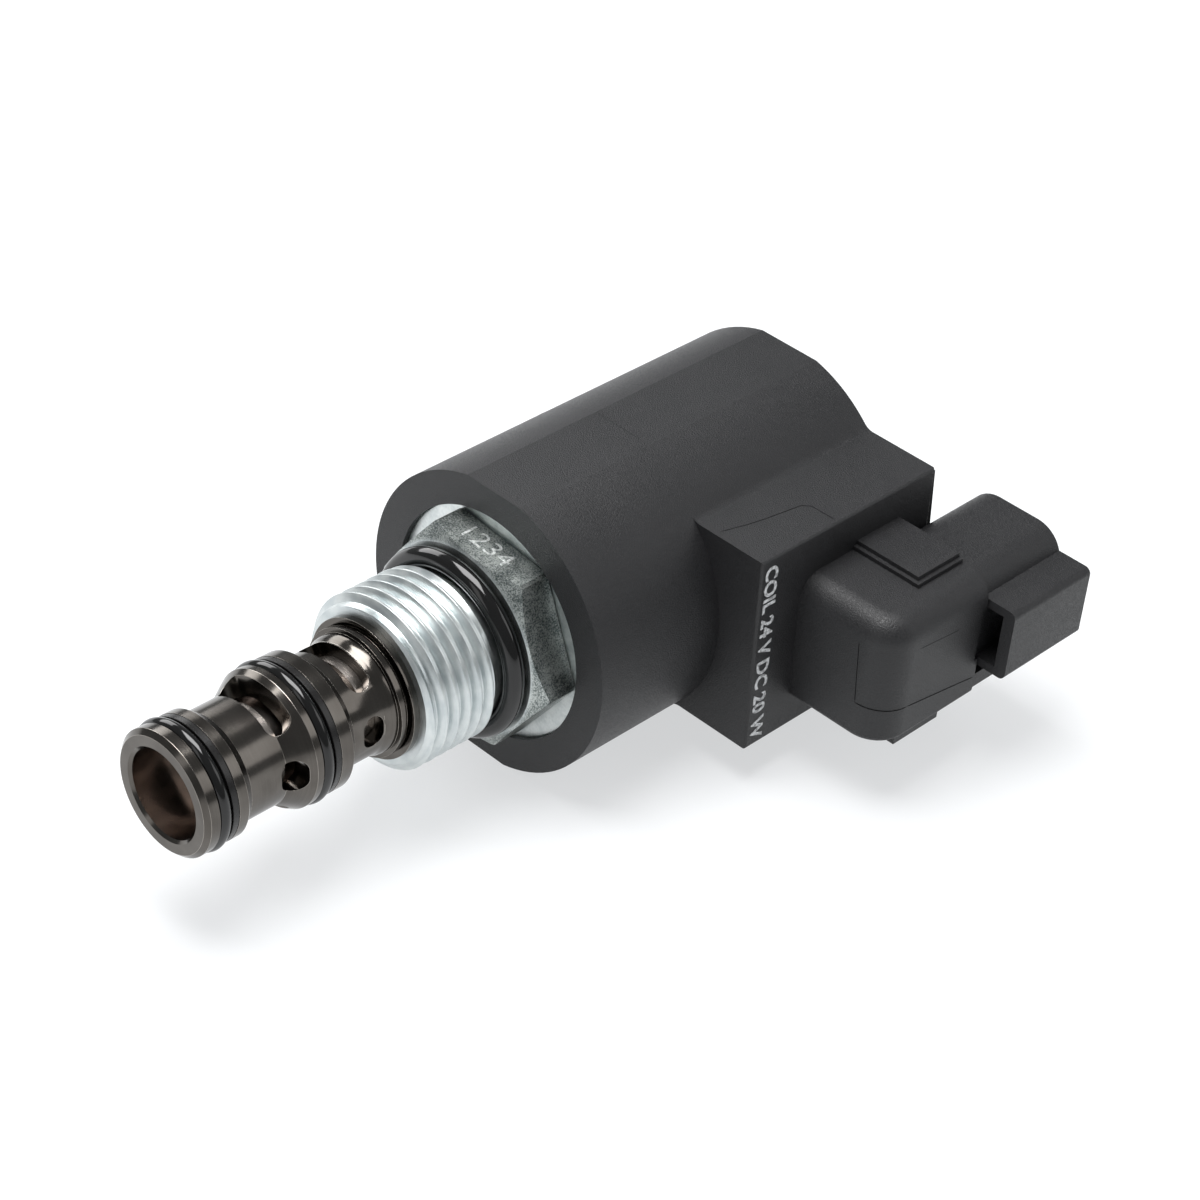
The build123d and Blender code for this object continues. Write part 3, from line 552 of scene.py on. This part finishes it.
# Coil, iron and winding: two zinc plated washers and a rolled tube carry the flux round enamelled
# copper wire on a nylon bobbin. A small O-ring seals the coil to the guide tube.
def plated_washer():
    patches, lines = mottle(500.0, 4.0), mottle(1.0, 3.0, stretched((400.0, 2600.0, 2600.0)))
    bloom = (patches * 0.7 + lines * 0.3).between(0.3, 0.7)
    return {"Base Color": bloom.blend((0.56, 0.60, 0.60), (0.80, 0.83, 0.82)),
            "Metallic": 1.0, "Roughness": patches * 0.2 + 0.3, "Normal": ridged(lines, 0.003 * MM)}


def enamelled_copper():
    turns = Grain.node("TexWave", {"wave_type": "BANDS", "bands_direction": "X", "wave_profile": "SIN"},
                       {"Vector": place(), "Scale": 620.0, "Distortion": 0.4})
    return {"Base Color": turns.blend((0.20, 0.06, 0.02), (0.52, 0.20, 0.07)), "Metallic": 0.9,
            "Roughness": turns * 0.15 + 0.2, "Normal": ridged(turns, 0.12 * MM)}


def bobbin_nylon():
    flow = mottle(300.0, 4.0)
    return {"Base Color": flow.blend((0.050, 0.050, 0.052), (0.085, 0.085, 0.088)), "Roughness": flow * 0.15 + 0.4}


washer, copper = material("plated_washer", plated_washer), material("enamelled_copper", enamelled_copper)
dressed("front_flux_plate", "front_flux_plate_pressed", "coil", [washer], edge=0.15 * MM)
dressed("rear_flux_plate", "rear_flux_plate_pressed", "coil", [washer], edge=0.15 * MM)
skinned("flux_shell", washer)
skinned("copper_winding", copper)
skinned("bobbin", material("bobbin_nylon", bobbin_nylon))
FRONT_SEAL_X, FRONT_SEAL_R, FRONT_SECTION_R = 6.35 * MM, 8.66 * MM, 0.7 * MM
ring_of_rubber("coil_front_seal", FRONT_SEAL_X, FRONT_SEAL_R, FRONT_SECTION_R, "coil")


# Coil, connections: two bent pins of tinned brass run to the connector, soldered to the winding's
# ends, with a diode across them that swallows the voltage when the coil is switched off.
def tin_plate():
    patches = mottle(1500.0)
    return {"Base Color": patches.blend((0.60, 0.58, 0.53), (0.80, 0.78, 0.73)), "Metallic": 1.0,
            "Roughness": patches * 0.2 + 0.15}


def diode_epoxy():
    specks = mottle(4000.0)
    return {"Base Color": specks.blend((0.015, 0.015, 0.016), (0.03, 0.03, 0.03)), "Roughness": specks * 0.15 + 0.35}


tin = material("tin_plate", tin_plate)
for node in ("contact_pin_upper", "contact_pin_lower"):
    skinned(node, tin)
for node in ("lead_wire_upper", "lead_wire_lower"):
    skinned(node, copper)
skinned("suppression_diode", material("diode_epoxy", diode_epoxy))


# Coil housing: glass filled black nylon, moulded round the coil in one shot with the block for the
# leads and the connector. The tool was spark eroded, which leaves its fine grain.
def glass_nylon():
    spark, speck, patches = mottle(5400.0, 3.0), mottle(9500.0, 2.0), mottle(110.0, 3.0)
    grains = (spark * 0.6 + speck * 0.4).between(0.36, 0.66)
    return {"Base Color": (grains * 0.6 + patches * 0.4).blend((0.010, 0.010, 0.011), (0.022, 0.022, 0.0235)),
            "Roughness": patches * 0.1 + grains * 0.24 + 0.27, "Specular IOR Level": 0.4,
            "Normal": ridged(grains, 0.026 * MM)}


nylon = material("glass_filled_nylon", glass_nylon)
COIL_R, FLAT_Z, SEAM_X = 19.6, 19.06, 25.8      # millimetres
flat_edge_y = math.sqrt(COIL_R ** 2 - FLAT_Z ** 2)
dressed("coil_housing", "coil_housing_moulded", "coil", [nylon], edge=0.24 * MM,
        creased=lambda at: abs(at.z) > (FLAT_Z - 0.02) * MM and abs(abs(at.y) - flat_edge_y * MM) < 0.05 * MM)


# Lines of the mould on the housing: the parting line of its two halves round the body, and the
# witness lines of the slides that form the block and the elbow.
ELBOW_FRONT_X, ELBOW_OUTER_Y = 31.79, -40.0      # millimetres, like all the lines below
SLIDE_TOP = ((25.2, -17.3, 13.7), (28.9, -18.4, 13.7), (31.8, -19.0, 13.7),
             (36.8, -19.8, 13.7), (37.7, -20.7, 13.7), (37.8, -24.4, 13.7))
SLIDE_FRONT = ((ELBOW_FRONT_X, -34.9, 4.6), (ELBOW_FRONT_X, -35.6, -4.1))
SLIDE_LOW = ((36.3, ELBOW_OUTER_Y, -4.4), (47.2, ELBOW_OUTER_Y, -6.1), (49.4, ELBOW_OUTER_Y, -6.5))
SLIDE_HIGH = ((37.2, ELBOW_OUTER_Y, 3.9), (44.7, ELBOW_OUTER_Y, 3.1))
BEND_X, BEND_Y, BEND_Z, BEND_R, BEND_FALL = 36.3, -35.5, -4.1, 4.5, 0.3
RIDGE_ROOT = -0.02


def ridge(mesh, points, normals, width, height):
    """A low ridge along points on a surface with those normals, all in millimetres."""
    rows = []
    for i, (point, normal) in enumerate(zip(points, normals)):
        before, after = Vector(points[max(i - 1, 0)]), Vector(points[min(i + 1, len(points) - 1)])
        normal = Vector(normal).normalized()
        side = normal.cross((after - before).normalized()).normalized()
        taper = 0.15 if i in (0, len(points) - 1) else 1.0
        section = ((-0.5, RIDGE_ROOT), (-0.22, height * taper), (0.22, height * taper), (0.5, RIDGE_ROOT))
        rows.append([mesh.verts.new((Vector(point) + side * width * across * taper + normal * up_by) * MM)
                     for across, up_by in section])
    for one, two in zip(rows, rows[1:]):
        for i in range(3):
            mesh.faces.new((one[i], one[i + 1], two[i + 1], two[i]))


def line_points(corners, spacing=0.5):
    """Points along straight runs between corners, millimetres."""
    points = []
    for one, two in zip(corners, corners[1:]):
        steps = max(1, int((Vector(two) - Vector(one)).length / spacing))
        points += [tuple(Vector(one).lerp(Vector(two), k / steps)) for k in range(steps)]
    return points + [corners[-1]]


seam = bmesh.new()
turns = [math.radians(80 + k) for k in range(0, 131)]
points = [(SEAM_X, -COIL_R * math.cos(t), min(COIL_R * math.sin(t), FLAT_Z - 0.01)) for t in turns]
outward = [(0, 0, 1) if COIL_R * math.sin(t) > FLAT_Z else (0, -math.cos(t), math.sin(t)) for t in turns]
ridge(seam, points, outward, 0.16, 0.01)
piece("housing_parting_line", seam, "coil", [nylon], sharp=80)


def witness_shadow():
    depth = mottle(1800.0)
    return {"Base Color": depth.blend((0.001, 0.001, 0.001), (0.003, 0.003, 0.003)),
            "Roughness": depth * 0.2 + 0.7, "Specular IOR Level": 0.1}


slides = bmesh.new()
quarter = [(math.cos(math.radians(t)), math.sin(math.radians(t)), t / 90) for t in range(0, 91, 6)]
bend = [(BEND_X - BEND_R * c, BEND_Y - BEND_R * s, BEND_Z - BEND_FALL * share) for c, s, share in quarter]
for corners, normal, width, height in ((SLIDE_TOP, (0, 0, 1), 0.16, 0.03), (SLIDE_FRONT, (-1, 0, 0), 0.13, 0.02)):
    points = line_points(corners)
    ridge(slides, points, [normal] * len(points), width, height)
ridge(slides, bend, [(-c, -s, 0) for c, s, share in quarter], 0.2, 0.03)
for corners, width, height in ((SLIDE_LOW, 0.2, 0.03), (SLIDE_HIGH, 0.08, 0.02)):
    points = line_points(corners)
    ridge(slides, points, [(0, -1, 0)] * len(points), width, height)
piece("elbow_witness_lines", slides, "coil", [material("witness_shadow", witness_shadow)], sharp=80)


# Print on the housing: the rating of the coil, in white ink down the edge of the block's outer face.
def white_ink():
    worn = mottle(2400.0, 4.0)
    return {"Base Color": worn.between(0.3, 0.62).blend((0.22, 0.22, 0.225), (0.74, 0.75, 0.76)),
            "Roughness": worn * 0.2 + 0.45}


DRAFT = Vector((0, -0.9, -27.4)).normalized()      # down the outer face of the block
PRINT_AT, PRINT_HEIGHT = Vector((25.15, -25.06, 12.7)) * MM, 2.95 * MM
lettering("rating_print", "COIL 24 V DC 20 W", PRINT_HEIGHT, 0.02 * MM, PRINT_AT, DRAFT, (1, 0, 0), "coil",
          material("white_ink", white_ink), weight=0.08 * MM, narrow=0.98)

# Coil nut: turned from hexagon bar with a flange that clamps the coil, zinc plated. Its O-ring keeps
# water out of the rear of the coil.
# The nut shares the zinc material and so its darker hexagon colour, which is a painted dark reflection.
dressed("coil_nut", "coil_nut_turned", "nut", [zinc], edge=0.2 * MM)
NUT_RING_X, NUT_RING_R, NUT_SECTION_R = 55.59 * MM, 8.73 * MM, 0.75 * MM
ring_of_rubber("nut_o_ring", NUT_RING_X, NUT_RING_R, NUT_SECTION_R, "nut_seal")
